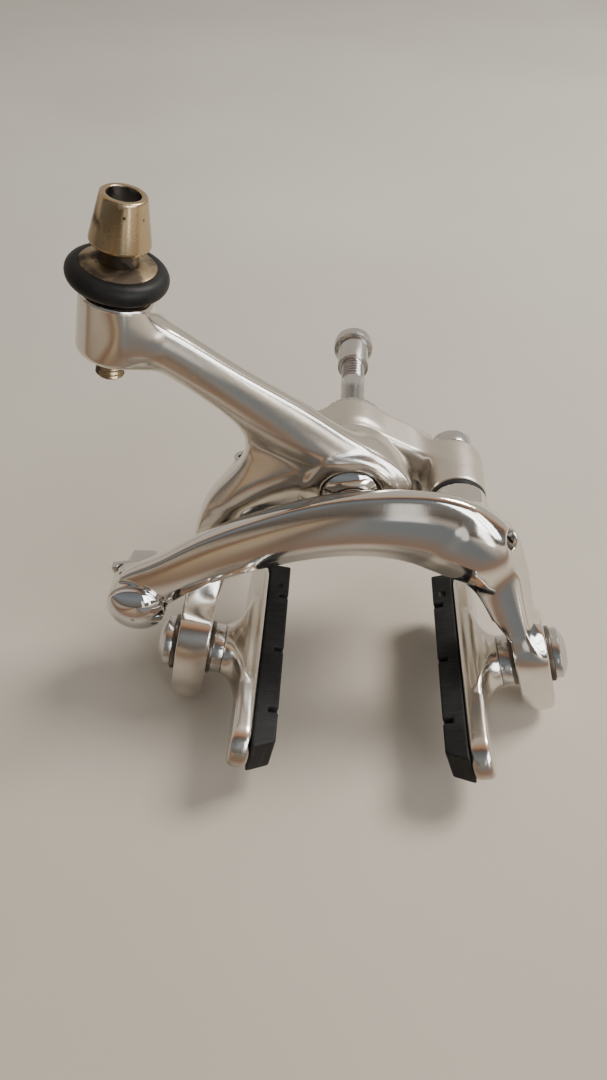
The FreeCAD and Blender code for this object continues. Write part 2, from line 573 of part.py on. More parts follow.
def make_fixed_parts():
    save("mount_washer", mount_washer())
    save("bridge", bridge())
    save("centre_bolt", centre_bolt())
    save("centre_cap", centre_cap())
    save("rear_thrust_washer", flat_washer(0, 0, 5.7, JOURNAL_R + RUNNING_GAP,
                                           PLATE_FRONT, PLATE_FRONT - 0.65))
    save("front_thrust_washer", flat_washer(0, 0, 6.4, JOURNAL_R + RUNNING_GAP,
                                            HUB_FRONT + 1.05, HUB_FRONT + 1.45))
    save("side_pivot_bolt", side_pivot_bolt())
    save("side_washer", flat_washer(SIDE_X, SIDE_Z, SIDE_BOSS_R, JOURNAL_R + RUNNING_GAP,
                                    SIDE_BOSS_FRONT, -23.4))
    save("return_spring", return_spring())
    save("recessed_nut", recessed_nut())


def make_arms():
    save("y_arm", y_arm())
    save("centre_bush", bush(0, 0, PLATE_FRONT - 0.8, HUB_FRONT + 1.6))
    save("spring_holder", spring_holder())
    save("tension_screw", tension_screw())
    save("c_arm", c_arm())
    save("side_bush", bush(SIDE_X, SIDE_Z, -23.5, SIDE_BORE_END + 0.2))
    save("roller_pin", on_axis(ROLLER_X, ROLLER_Z, PIN_R, -14.0, -34.0))
    save("link_roller", link_roller())
    save("centring_screw", centring_screw())


def make_cable_parts():
    save("adjuster_barrel", adjuster_barrel())
    save("adjuster_wheel", adjuster_wheel())
    save("adjuster_o_ring", on_adjuster(o_ring()))
    save("adjuster_washer", adjuster_washer())
    save("anchor_bolt", anchor_bolt())
    save("anchor_clamp", anchor_clamp())
    save("anchor_nut", anchor_nut())


make_fixed_parts()
make_arms()
make_cable_parts()
make_shoes()
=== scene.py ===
import json
import math

import bpy
import numpy as np
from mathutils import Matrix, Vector


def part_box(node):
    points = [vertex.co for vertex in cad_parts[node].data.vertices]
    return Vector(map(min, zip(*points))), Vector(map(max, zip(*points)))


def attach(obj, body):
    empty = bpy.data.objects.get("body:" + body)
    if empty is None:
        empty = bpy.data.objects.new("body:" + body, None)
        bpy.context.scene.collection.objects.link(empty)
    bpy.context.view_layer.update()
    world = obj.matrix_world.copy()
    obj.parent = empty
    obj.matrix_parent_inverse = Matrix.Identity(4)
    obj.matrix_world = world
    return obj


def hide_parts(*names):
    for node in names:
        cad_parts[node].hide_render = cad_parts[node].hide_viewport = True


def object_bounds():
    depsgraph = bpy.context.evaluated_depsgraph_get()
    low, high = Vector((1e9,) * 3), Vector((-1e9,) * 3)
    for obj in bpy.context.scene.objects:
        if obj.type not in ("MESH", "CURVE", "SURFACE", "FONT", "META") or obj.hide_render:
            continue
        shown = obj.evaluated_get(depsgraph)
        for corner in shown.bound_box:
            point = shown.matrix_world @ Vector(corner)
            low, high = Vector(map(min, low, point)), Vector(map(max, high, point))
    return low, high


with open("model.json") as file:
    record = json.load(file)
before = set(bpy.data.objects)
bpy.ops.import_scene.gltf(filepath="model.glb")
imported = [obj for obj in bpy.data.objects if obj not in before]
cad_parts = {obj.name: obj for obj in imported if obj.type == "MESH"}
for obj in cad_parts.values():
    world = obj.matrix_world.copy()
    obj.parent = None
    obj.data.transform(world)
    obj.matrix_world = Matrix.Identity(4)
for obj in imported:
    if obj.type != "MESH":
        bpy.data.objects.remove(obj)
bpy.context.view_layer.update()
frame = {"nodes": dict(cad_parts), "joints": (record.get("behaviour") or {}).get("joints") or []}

# Looks of the rim brake caliper. Shapes are worked out in millimetres in the CAD frame:
# +X right seen from the front, +Y back along the mounting bolt, +Z up.
MM = 0.001
JOINTS = {joint["name"]: joint for joint in frame["joints"]}


def joint_point(name):
    return np.array(JOINTS[name]["pos_m"]) / MM


def joint_axis(name):
    return np.array(JOINTS[name]["axis"], float)


# ---- places taken from the frame ----
SIDE_X, _, SIDE_Z = joint_point("c_arm_pivot")
ROLLER_X, _, ROLLER_Z = joint_point("roller_spin")
TENSION_X, TENSION_Y, _ = joint_point("tension_screw_turn")
CENTRING_MOUTH = joint_point("centring_screw_turn")
CENTRING_AXIS = joint_axis("centring_screw_turn")
ADJUSTER_AXIS = joint_axis("adjuster_turn")
ADJUSTER_START = joint_point("adjuster_turn") - 10.0 * ADJUSTER_AXIS
SHOE_POINT = {side: joint_point(f"{side}_shoe_turn") for side in ("left", "right")}
SHOE_OUT = {side: joint_axis(f"{side}_shoe_turn") for side in ("left", "right")}
SHOE_UP = {side: joint_axis(f"{side}_shoe_reach") for side in ("left", "right")}
ANCHOR_X, _, ANCHOR_Z = (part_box("anchor_bolt")[0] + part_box("anchor_bolt")[1]) / 2 / MM
BACK = np.array([0.0, 1.0, 0.0])

# ---- sizes shared with the CAD part ----
HUB_FRONT = -26.0
PLATE_FRONT = -11.5
FRONT_ARM_REAR = -29.5
ANCHOR_SEAT = -38.2
ARM_HALF = 3.8
SLOT_HALF_TRAVEL = 4.0
BOLT_R = 3.0
JOURNAL_R = 4.0
BUSH_R = 5.05
CAP_RECESS_R = 6.9
STEM_R = 2.8
SPRING_R, SPRING_WIRE_R = 7.2, 0.9
BRIDGE_REAR = -1.5
SHANK_END = 17.5
THREAD_END = 24.4

# ---- sizes of the look alone ----
EAR_R = 6.6
SLOT_R = BOLT_R + 0.15
ADJUSTER_BOSS_R = 6.8
ADJUSTER_BOSS_FOOT = 5.2
ADJUSTER_BOSS_TOP = 18.1
ADJUSTER_SEAT_R, ADJUSTER_SEAT_HEIGHT = 6.1, 17.4
CLEAR_OF_BOSS = 28.0
STEM_END, WHEEL_BOTTOM, O_RING_HEIGHT, WHEEL_TOP = 22.0, 18.9, 21.3, 24.0
NECK_R, NECK_TOP, CONE_TOP = 3.5, 27.0, 36.0
BORE_R, BORE_FLOOR = 2.95, 27.5
REAR_HUB_R = 9.5
FRONT_HUB_R = 6.6
DOME_BOSS_R, DOME_CLEARANCE_R = 6.9, 7.5
BRIDGE_HUB_R, SIDE_BOSS_R = 8.0, 6.5
PIVOT_HEAD_RECESS_R = 5.6
PIN_R, SCREW_HOLE_R, TENSION_HOLE_R, ANCHOR_HOLE_R = 1.5, 1.95, 2.05, 2.5
FAR_BELOW = -90.0    # keeps a limb's back rounded all along
FORGING_STEP, SHOE_STEP = 0.42, 0.36

# Limbs are rows of (x, y, z, width, depth) along their middle line.
UPPER_ARM = [(-44.0, -26.6, 40.2, 11.0, 10.8), (-38.0, -26.4, 36.9, 9.8, 8.4),
             (-31.0, -25.6, 31.4, 9.6, 7.8), (-22.5, -24.3, 24.0, 10.6, 7.8),
             (-12.5, -22.7, 15.2, 12.4, 8.2), (-3.0, -20.9, 7.2, 13.0, 10.0),
             (5.0, -19.1, 2.6, 12.0, 13.4), (11.2, -19.1, -0.2, 7.6, 13.4),
             (13.8, -19.1, -0.9, 4.0, 12.6)]
LEFT_LEG = [(-5.0, -19.1, 1.0, 16.0, 12.6), (-16.5, -20.0, 0.6, 15.0, 12.4),
            (-24.6, -20.8, -4.4, 12.6, 12.0), (-29.6, -21.6, -12.0, 11.0, 11.6),
            (-32.4, -23.6, -20.6, 9.2, 11.4), (-34.2, -30.8, -27.4, 7.9, 12.2),
            (-35.3, -37.6, -32.4, 7.9, 13.0), (-36.3, -39.5, -37.6, 8.0, 13.2),
            (-38.0, -39.5, -46.4, 7.7, 13.2),
            (-39.2, -39.5, -52.4, 5.8, 10.6), (-39.6, -39.5, -54.2, 4.4, 6.4)]
FRONT_ARM = [(-52.6, -33.9, -28.6, 8.6, 7.4), (-49.0, -33.6, -26.0, 11.8, 8.6),
             (-41.0, -34.1, -19.8, 11.4, 9.0), (-31.0, -34.2, -13.0, 11.8, 9.4),
             (-18.0, -34.3, -6.6, 13.4, 9.6), (-3.0, -34.3, -2.0, 15.6, 9.6),
             (10.0, -34.3, -1.4, 18.0, 9.6), (20.5, -34.5, -3.6, 19.6, 10.0),
             (27.4, -35.0, -7.0, 16.6, 10.6), (31.6, -35.4, -10.6, 13.0, 10.2)]
RIGHT_LEG = [(23.0, -33.4, -4.6, 16.0, 8.6), (29.4, -33.8, -9.0, 15.6, 9.0),
             (34.2, -35.0, -15.6, 12.0, 10.4), (38.8, -37.6, -25.0, 8.8, 12.4),
             (42.8, -39.3, -33.0, 7.6, 13.2), (46.4, -39.5, -43.6, 7.4, 13.2),
             (49.0, -39.5, -51.2, 5.8, 10.8), (49.7, -39.5, -53.2, 4.6, 6.4)]


# ---- shapes as fields: negative inside, about the distance to the surface in millimetres ----
def smooth_max(a, b, blend):
    mix = np.clip(0.5 + 0.5 * (a - b) / blend, 0.0, 1.0)
    return b + (a - b) * mix + blend * mix * (1.0 - mix)


def join(a, b, blend):
    """Union with a fillet."""
    return -smooth_max(-a, -b, blend)


def cut(a, tool, edge=0.4):
    """What is left of a when the tool is taken away, with a slightly rounded edge."""
    return smooth_max(a, -tool, edge)


def rod(points, start, end, radius, edge=0.5):
    start = np.asarray(start, float)
    axis = np.asarray(end, float) - start
    length = np.linalg.norm(axis)
    axis /= length
    rel = points - start
    along = rel @ axis
    radial = np.linalg.norm(rel - along[:, None] * axis, axis=1)
    return smooth_max(radial - radius, np.abs(along - length / 2) - length / 2, edge)


def rod_y(points, x, z, radius, y_from, y_to, edge=0.5):
    return rod(points, (x, y_from, z), (x, y_to, z), radius, edge)


def block(points, centre, half, edge=0.5):
    sides = np.abs(points - np.asarray(centre, float)) - np.asarray(half, float)
    return smooth_max(smooth_max(sides[:, 0], sides[:, 1], edge), sides[:, 2], edge)


def tapered_plate(points, first, second, y_from, y_to, edge):
    """A plate whose outline wraps two circles (x, z, r)."""
    x1, z1, r1 = first
    x2, z2, r2 = second
    dx, dz = x2 - x1, z2 - z1
    share = ((points[:, 0] - x1) * dx + (points[:, 2] - z1) * dz) / (dx * dx + dz * dz)
    share = np.clip(share, 0.0, 1.0)
    away = np.hypot(points[:, 0] - x1 - share * dx, points[:, 2] - z1 - share * dz)
    outline = away - r1 - share * (r2 - r1)
    middle = (y_from + y_to) / 2
    return smooth_max(outline, np.abs(points[:, 1] - middle) - abs(y_to - y_from) / 2, edge)


class Spline:
    """A curve through rows of values whose bend changes smoothly, by distance along X and Z."""

    def __init__(self, rows):
        self.rows = np.array(rows, float)
        steps = np.hypot(*np.diff(self.rows[:, [0, 2]], axis=0).T)
        self.knots = np.concatenate([[0.0], np.cumsum(steps)])
        count = len(rows)
        system = np.eye(count)
        right = np.zeros_like(self.rows)
        for i in range(1, count - 1):
            before, after = steps[i - 1], steps[i]
            system[i, i - 1:i + 2] = before, 2 * (before + after), after
            right[i] = 6 * ((self.rows[i + 1] - self.rows[i]) / after
                            - (self.rows[i] - self.rows[i - 1]) / before)
        self.bends = np.linalg.solve(system, right)

    def at(self, place):
        i = np.clip(np.searchsorted(self.knots, place, side="right") - 1, 0, len(self.rows) - 2)
        span = (self.knots[i + 1] - self.knots[i])[:, None]
        b = (place[:, None] - self.knots[i][:, None]) / span
        a = 1.0 - b
        value = (a * self.rows[i] + b * self.rows[i + 1]
                 + ((a ** 3 - a) * self.bends[i] + (b ** 3 - b) * self.bends[i + 1]) * span ** 2 / 6)
        slope = ((self.rows[i + 1] - self.rows[i]) / span
                 + ((1 - 3 * a ** 2) * self.bends[i] + (3 * b ** 2 - 1) * self.bends[i + 1]) * span / 6)
        return value, slope

    def nearest(self, x, z):
        """The place on the curve nearest to each point, seen along Y."""
        samples = np.linspace(0.0, self.knots[-1], 8 * len(self.rows))
        centres, _ = self.at(samples)
        place = np.zeros_like(x)
        best = np.full_like(x, np.inf)
        for sample, centre in zip(samples, centres):
            away = (x - centre[0]) ** 2 + (z - centre[2]) ** 2
            closer = away < best
            best = np.where(closer, away, best)
            place = np.where(closer, sample, place)
        for _ in range(3):
            value, slope = self.at(place)
            dx, dz = slope[:, 0], slope[:, 2]
            move = ((x - value[:, 0]) * dx + (z - value[:, 2]) * dz) / (dx * dx + dz * dz)
            place = np.clip(place + np.clip(move, -2.0, 2.0), 0.0, self.knots[-1])
        return place, *self.at(place)


def limb(points, spline, outer_side, outer_extra, boxy_below, bevels=(-2.0, -2.0), end_round=3.0):
    """A forged limb: a crowned front face with a crease on its outer edge, and a rounded back.

    outer_side says which side of the middle line is outside (+1 or -1). Below the height
    boxy_below the back fills out to a nearly square section, for the pad bolt's seats. A sloping
    plane cuts the outer front edge, by bevels[0] at the limb's start and bevels[1] at its end.
    """
    place, value, slope = spline.nearest(points[:, 0], points[:, 2])
    run = np.hypot(slope[:, 0], slope[:, 2])
    dx, dz = points[:, 0] - value[:, 0], points[:, 2] - value[:, 2]
    outward = outer_side * (dz * slope[:, 0] - dx * slope[:, 2]) / run
    along = (dx * slope[:, 0] + dz * slope[:, 2]) / run
    boxy = np.clip((boxy_below - value[:, 2]) / 10.0, 0.0, 1.0)
    outside = outward > 0
    half_w = value[:, 3] / 2 + np.where(outside, outer_extra * (1.0 - boxy), 0.0)
    crown = half_w * np.where(outside, 0.28, 0.42) * (1.0 - 0.35 * boxy)
    depth = points[:, 1] - value[:, 1] + value[:, 4] / 2
    front = crown * (outward / half_w) ** 2 - depth
    behind = np.maximum(depth - crown, 0.0)
    back_depth = value[:, 4] - crown
    power = 2.3 + 3.7 * boxy
    a = np.abs(outward) / half_w + 1e-6
    b = behind / back_depth + 1e-6
    reach = (a ** power + b ** power) ** (1 / power)
    steepness = reach ** (1 - power) * np.hypot(a ** (power - 1) / half_w, b ** (power - 1) / back_depth)
    sides = np.maximum((reach - 1.0) / steepness, -half_w)
    section = smooth_max(sides, front, np.where(outside, 0.9, 1.5))
    share = place / spline.knots[-1]
    bevel = bevels[0] + (bevels[1] - bevels[0]) * share
    section = smooth_max(section, 0.82 * (outward - half_w) - 0.57 * depth + bevel, 0.6)
    past_end = np.maximum(-(place + along), place + along - spline.knots[-1])
    return smooth_max(section, past_end, end_round)


def to_shoe(points, side):
    """Points in the shoe's own frame: out along the pad bolt, back, and up the arm's slot."""
    rel = points - SHOE_POINT[side]
    return np.stack([rel @ SHOE_OUT[side], rel[:, 1], rel @ SHOE_UP[side]], axis=1)


def from_shoe(points, side):
    return (SHOE_POINT[side] + points[:, :1] * SHOE_OUT[side] + points[:, 1:2] * BACK
            + points[:, 2:] * SHOE_UP[side])


def shoe_slot(field, points, side):
    """Add the pad bolt's flat seats to an arm and cut the slot between them."""
    local = to_shoe(points, side)
    up = np.maximum(np.abs(local[:, 2]) - SLOT_HALF_TRAVEL, 0.0)
    away = np.hypot(local[:, 1], up)
    ear = smooth_max(away - EAR_R, np.abs(local[:, 0]) - ARM_HALF, 0.4)
    field = join(field, ear, 4.0)
    widening = 0.6 * np.maximum(local[:, 2] - 11.5, 0.0)
    seats = np.where(local[:, 2] < 16.0, np.abs(local[:, 0]) - ARM_HALF - widening, -9.0)
    return cut(smooth_max(field, seats, 0.4), away - SLOT_R, 0.3)


# ---- the forged and cast parts ----
UPPER_SPLINE = Spline(UPPER_ARM)
LEG_SPLINE = Spline(LEFT_LEG)
FRONT_SPLINE = Spline(FRONT_ARM)
RIGHT_LEG_SPLINE = Spline(RIGHT_LEG)
WAIST_CENTRE, WAIST_R = (-51.0, 11.5), 28.0


def adjuster_point(height):
    return ADJUSTER_START + height * ADJUSTER_AXIS


def web_field(points):
    """Thin web between the upper arm and the left leg, hollowed at the waist."""
    x, y, z = points.T
    waist = WAIST_R - np.hypot(x - WAIST_CENTRE[0], z - WAIST_CENTRE[1])
    above = (x + 27.5) * 0.63 + (z - 23.0) * 0.77 - 3.0
    below = -z - 3.0
    outline = np.maximum(np.maximum(above, below), np.maximum(x + 2.0, -x - 29.0))
    return smooth_max(smooth_max(outline, waist, 1.0), np.abs(y + 20.5) - 4.3, 2.2)


def y_arm_field(points):
    upper = limb(points, UPPER_SPLINE, 1, 0.3, FAR_BELOW)
    leg = limb(points, LEG_SPLINE, -1, 0.0, -6.0, (0.0, 0.4))
    foot, clear = adjuster_point(ADJUSTER_BOSS_FOOT), adjuster_point(CLEAR_OF_BOSS)
    shoulder = adjuster_point(ADJUSTER_BOSS_TOP)
    boss = rod(points, foot, adjuster_point(21.0), ADJUSTER_BOSS_R, 1.6)
    arm = join(join(upper, leg, 1.6), web_field(points), 4.0)
    arm = join(arm, rod_y(points, 0, 0, REAR_HUB_R, PLATE_FRONT - 0.7, HUB_FRONT, 1.2), 2.5)
    arm = join(arm, boss, 4.5)
    arm = cut(arm, rod(points, shoulder, clear, 10.0), 0.7)
    arm = cut(arm, rod(points, adjuster_point(ADJUSTER_SEAT_HEIGHT), clear, ADJUSTER_SEAT_R), 0.4)
    arm = cut(arm, rod(points, adjuster_point(-1), adjuster_point(18), STEM_R + 0.1), 0.3)
    arm = cut(arm, rod_y(points, 0, 0, BUSH_R, PLATE_FRONT + 2, HUB_FRONT - 1), 0.3)
    arm = cut(arm, rod_y(points, 0, 0, CAP_RECESS_R, HUB_FRONT + 1.5, HUB_FRONT - 9), 0.35)
    radial = np.hypot(points[:, 0], points[:, 2])
    groove = np.maximum(np.abs(radial - SPRING_R) - 1.4, -17.2 - points[:, 1])
    arm = cut(arm, groove, 0.3)
    arm = cut(arm, block(points, (-11.2, -14.5, -SPRING_R), (11.2, 3.1, 1.5)), 0.4)
    arm = cut(arm, rod(points, (TENSION_X, TENSION_Y, -14), (TENSION_X, TENSION_Y, 8), TENSION_HOLE_R), 0.3)
    return shoe_slot(arm, points, "left")


def c_arm_field(points):
    arm = limb(points, FRONT_SPLINE, 1, 1.3, FAR_BELOW, (-3.0, 3.0), 7.0)
    arm = join(arm, limb(points, RIGHT_LEG_SPLINE, 1, 0.6, -14.0, (3.6, -0.2)), 5.0)
    hub = rod_y(points, SIDE_X, SIDE_Z, FRONT_HUB_R, -23.5, FRONT_ARM_REAR - 4, 0.5)
    arm = join(arm, hub, 1.5)
    dome_boss = rod_y(points, ANCHOR_X, ANCHOR_Z, DOME_BOSS_R, FRONT_ARM_REAR, ANCHOR_SEAT, 0.8)
    arm = join(arm, dome_boss, 1.0)
    arm = smooth_max(arm, np.where(points[:, 0] < 14, points[:, 1] - FRONT_ARM_REAR, -9.0), 0.5)
    arm = cut(arm, rod_y(points, SIDE_X, SIDE_Z, BUSH_R, -20.0, -33.4), 0.3)
    arm = cut(arm, rod_y(points, ROLLER_X, ROLLER_Z, PIN_R, -20.0, -34.0), 0.3)
    arm = cut(arm, rod_y(points, ANCHOR_X, ANCHOR_Z, ANCHOR_HOLE_R, -20.0, -45.0), 0.3)
    arm = cut(arm, rod_y(points, ANCHOR_X, ANCHOR_Z, DOME_CLEARANCE_R, ANCHOR_SEAT, -48.0), 0.8)
    inner = CENTRING_MOUTH - 6.0 * CENTRING_AXIS
    outer = CENTRING_MOUTH + 6.0 * CENTRING_AXIS
    arm = cut(arm, rod(points, inner, outer, SCREW_HOLE_R), 0.4)
    return shoe_slot(arm, points, "right")


def bridge_field(points):
    hub = (0.0, 0.0, BRIDGE_HUB_R)
    body = tapered_plate(points, hub, (SIDE_X, SIDE_Z - 6.5, 6.4), BRIDGE_REAR, PLATE_FRONT, 1.2)
    body = join(body, tapered_plate(points, hub, (-17.0, -3.0, 4.5), BRIDGE_REAR, -8.5, 1.2), 1.5)
    body = join(body, rod_y(points, -SPRING_R, 0, 3.0, BRIDGE_REAR, PLATE_FRONT, 0.6), 1.0)
    body = join(body, rod_y(points, SIDE_X, SIDE_Z, SIDE_BOSS_R, -8.0, -22.0, 0.8), 6.0)
    body = cut(body, rod_y(points, 0, 0, JOURNAL_R + 0.05, 1, PLATE_FRONT - 1), 0.3)
    body = cut(body, rod_y(points, SIDE_X, SIDE_Z, JOURNAL_R, 1, -23.0), 0.3)
    body = cut(body, rod_y(points, SIDE_X, SIDE_Z, PIVOT_HEAD_RECESS_R, 1, -6.0), 0.5)
    body = cut(body, rod_y(points, -SPRING_R, 0, SPRING_WIRE_R + 0.1, -7.0, PLATE_FRONT - 1), 0.2)
    roller_low, roller_high = (ROLLER_X, ROLLER_Z, 4.0), (ROLLER_X, ROLLER_Z + 6, 4.0)
    return cut(body, tapered_plate(points, roller_low, roller_high, -13.0, -25.0, 0.5), 0.5)


HOLDER_BACK, HOLDER_FRONT, PAD_FACE = -11.6, -16.2, -21.4
HOLDER_HALF_H, PAD_HALF_H = 6.0, 5.3
HOLDER_LENGTH, PAD_LENGTH = 57.0, 54.6
SHOE_MIDDLE = -1.6
GROOVE_PITCH = 17.0
GROOVE_HALF = (2.4, 0.6, PAD_HALF_H + 2)


def holder_field(points):
    """Open channel for the rubber, with a boss that flares out towards the arm."""
    half = HOLDER_LENGTH / 2
    centre_x = (HOLDER_BACK + HOLDER_FRONT) / 2
    along = np.maximum(np.abs(points[:, 1] - SHOE_MIDDLE) - (half - HOLDER_HALF_H), 0.0)
    outline = np.hypot(along, points[:, 2]) - HOLDER_HALF_H
    flange = smooth_max(outline, np.abs(points[:, 0] - centre_x) - 2.3, 1.6)
    radial = np.hypot(points[:, 1], points[:, 2])
    flare = radial - (6.2 + 4.3 * np.clip((-7.2 - points[:, 0]) / 4.4, 0.0, 1.2) ** 2)
    boss = smooth_max(flare, np.abs(points[:, 0] + 10.0) - 2.8, 0.5)
    boss = smooth_max(boss, np.abs(points[:, 2]) - HOLDER_HALF_H, 1.2)
    holder = join(flange, boss, 2.0)
    channel_half = (2.6, PAD_LENGTH / 2, PAD_HALF_H - 0.8)
    channel = block(points, (HOLDER_FRONT, SHOE_MIDDLE + 4.0, 0), channel_half, 0.4)
    holder = cut(holder, channel, 0.4)
    return cut(holder, rod(points, (HOLDER_BACK - 1.8, 0, 0), (0, 0, 0), BOLT_R + 0.05), 0.3)


def pad_field(points):
    """Rubber block with three cross grooves, a slanted front end and a small dimple."""
    x, y, z = points.T
    half = PAD_LENGTH / 2
    middle_x = (HOLDER_FRONT + PAD_FACE) / 2
    rubber = block(points, (middle_x, SHOE_MIDDLE, 0), (2.6, half, PAD_HALF_H), 0.5)
    slant = (SHOE_MIDDLE - half) - y + 0.46 * (HOLDER_FRONT - x)
    rubber = smooth_max(rubber, slant, 0.5)
    root_half = (1.5, half - 2.0, PAD_HALF_H - 0.85)
    root = block(points, (HOLDER_FRONT + 1.1, SHOE_MIDDLE + 2.0, 0), root_half, 0.3)
    rubber = join(rubber, root, 0.2)
    for i in (-1, 0, 1):
        groove = block(points, (PAD_FACE, SHOE_MIDDLE + GROOVE_PITCH * i, 0), GROOVE_HALF, 0.3)
        rubber = cut(rubber, groove, 0.35)
    dimple = block(points, (middle_x, SHOE_MIDDLE + 20.5, PAD_HALF_H), (0.7, 0.8, 0.5), 0.3)
    return cut(rubber, dimple, 0.3)


# ---- from fields to meshes ----
def mesh_field(field, low, high, step):
    """Points and four-sided faces of a field's surface, found on a grid and then settled onto it."""
    coarse = 4
    size = step * coarse
    counts = np.ceil((np.asarray(high) - np.asarray(low)) / size).astype(int)
    low = np.asarray(low, float)
    axes = [low[i] + (np.arange(counts[i]) + 0.5) * size for i in range(3)]
    centres = np.stack(np.meshgrid(*axes, indexing="ij"), -1).reshape(-1, 3)
    values = field(centres).reshape(counts)
    near = np.abs(values) < 1.2 * size
    for axis in range(3):
        values = np.repeat(values, coarse, axis)
        near = np.repeat(near, coarse, axis)
    lattice = np.argwhere(near)
    values[near] = field(low + (lattice + 0.5) * step)
    inside = values < 0

    corners = np.array([(i, j, k) for i in (0, 1) for j in (0, 1) for k in (0, 1)])
    shape = np.array(inside.shape) - 1
    filled = sum(inside[i:i + shape[0], j:j + shape[1], k:k + shape[2]].astype(np.int8)
                 for i, j, k in corners)
    cells = np.argwhere((filled > 0) & (filled < 8))
    number = np.full(shape, -1)
    number[tuple(cells.T)] = np.arange(len(cells))
    total = np.zeros((len(cells), 3))
    crossings = np.zeros(len(cells))
    for first in corners:
        for axis in range(3):
            if first[axis]:
                continue
            second = first + np.eye(3, dtype=int)[axis]
            a = values[tuple((cells + first).T)]
            b = values[tuple((cells + second).T)]
            crossed = (a < 0) != (b < 0)
            share = np.where(crossed, a / np.where(crossed, a - b, 1.0), 0.0)
            total += crossed[:, None] * (first + share[:, None] * (second - first))
            crossings += crossed
    points = low + (cells + total / crossings[:, None] + 0.5) * step

    quads = []
    for axis in range(3):
        u, v = np.eye(3, dtype=int)[(axis + 1) % 3], np.eye(3, dtype=int)[(axis + 2) % 3]
        ahead = np.take(inside, range(1, inside.shape[axis]), axis)
        here = np.take(inside, range(inside.shape[axis] - 1), axis)
        for crossing, order in ((here & ~ahead, (0, 1, 2, 3)), (~here & ahead, (3, 2, 1, 0))):
            spots = np.argwhere(crossing)
            around = (spots - u - v, spots - v, spots, spots - u)
            quads.append(np.stack([number[tuple(around[k].T)] for k in order], axis=1))
    quads = np.concatenate(quads)
    return settle(points, quads, field, step), quads


def settle(points, quads, field, step):
    """Even out the points, then move each one back onto the surface."""
    pairs = np.concatenate([quads[:, [k, (k + 1) % 4]] for k in range(4)])
    count = np.bincount(pairs[:, 0], minlength=len(points)) + np.bincount(pairs[:, 1], minlength=len(points))
    for even in (0.0, 0.5, 0.5):
        average = np.stack([np.bincount(pairs[:, 0], points[pairs[:, 1], i], len(points))
                            + np.bincount(pairs[:, 1], points[pairs[:, 0], i], len(points))
                            for i in range(3)], axis=1) / count[:, None]
        points = points + even * (average - points)
        here = field(points)
        probe = 0.02
        slope = np.stack([field(points + probe * np.eye(3)[i]) - here for i in range(3)], axis=1) / probe
        steepness = np.maximum((slope ** 2).sum(axis=1), 0.05)
        points = points - np.clip((here / steepness)[:, None] * slope, -step, step)
    return points


def add_mesh(name, points, faces, body, material, replaces):
    """A new piece: points in millimetres, riding on a body and standing for CAD nodes."""
    mesh = bpy.data.meshes.new(name)
    mesh.from_pydata((points * MM).tolist(), [], [list(face) for face in faces])
    mesh.polygons.foreach_set("use_smooth", np.ones(len(mesh.polygons), bool))
    mesh.materials.append(material)
    piece = bpy.data.objects.new(name, mesh)
    bpy.context.scene.collection.objects.link(piece)
    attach(piece, body)
    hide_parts(*replaces)
    return piece


def node_span(node, margin):
    low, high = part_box(node)
    return np.array(low) / MM - margin, np.array(high) / MM + margin


def spun(outline, thread=None, segments=96):
    """Turn a closed outline of (radius, height) about +Z. A thread is (from, to, pitch, depth)."""
    rows = []
    for (r1, h1), (r2, h2) in zip(outline, outline[1:] + outline[:1]):
        threaded = thread and h2 > h1 and r1 == r2 and thread[0] <= h1 and h2 <= thread[1]
        parts = int((h2 - h1) / thread[2] * 10) if threaded else 1
        for i in range(parts):
            share = i / parts
            rows.append((r1 + share * (r2 - r1), h1 + share * (h2 - h1), threaded and 0 < i))
    angle = np.arange(segments) * 2 * math.pi / segments
    points = []
    for radius, height, threaded in rows:
        r = np.full(segments, float(radius))
        if threaded:
            turn = height / thread[2] - angle / (2 * math.pi)
            r -= thread[3] * np.abs(2 * (turn % 1.0) - 1)
        points.append(np.stack([r * np.cos(angle), r * np.sin(angle), np.full(segments, height)], axis=1))
    points = np.concatenate(points)
    count = len(rows)
    faces = []
    for i in range(count):
        here, ahead = i * segments, (i + 1) % count * segments
        for k in range(segments):
            after = (k + 1) % segments
            faces.append((here + k, here + after, ahead + after, ahead + k))
    return points, np.array(faces)


def aim(points, origin, axis):
    """Turn points made about +Z so that they start at origin and run along axis."""
    turn = Vector((0, 0, 1)).rotation_difference(Vector(axis)).to_matrix()
    return points @ np.array(turn).T + np.asarray(origin, float)


def tube(path, radius, segments=16):
    """A round wire with flat ends along a path."""
    path = np.asarray(path, float)
    along = np.gradient(path, axis=0)
    along /= np.linalg.norm(along, axis=1)[:, None]
    side = np.cross(along[0], (0.3, 1.0, 0.2))
    rings = []
    for point, direction in zip(path, along):
        side = side - (side @ direction) * direction
        side /= np.linalg.norm(side)
        other = np.cross(direction, side)
        angle = np.arange(segments) * 2 * math.pi / segments
        rings.append(point + radius * (np.cos(angle)[:, None] * side + np.sin(angle)[:, None] * other))
    points = np.concatenate(rings)
    faces = []
    for i in range(len(path) - 1):
        for k in range(segments):
            after = (k + 1) % segments
            faces.append((i * segments + k, i * segments + after,
                          (i + 1) * segments + after, (i + 1) * segments + k))
    start, last = len(points), (len(path) - 1) * segments
    points = np.concatenate([points, path[:1], path[-1:]])
    for k in range(segments):
        after = (k + 1) % segments
        faces.append((start, after, k))
        faces.append((start + 1, last + k, last + after))
    return points, faces


# ---- materials ----
def new_material(name):
    material = bpy.data.materials.new(name)
    material.use_nodes = True
    tree = material.node_tree
    return material, tree, tree.nodes["Principled BSDF"]


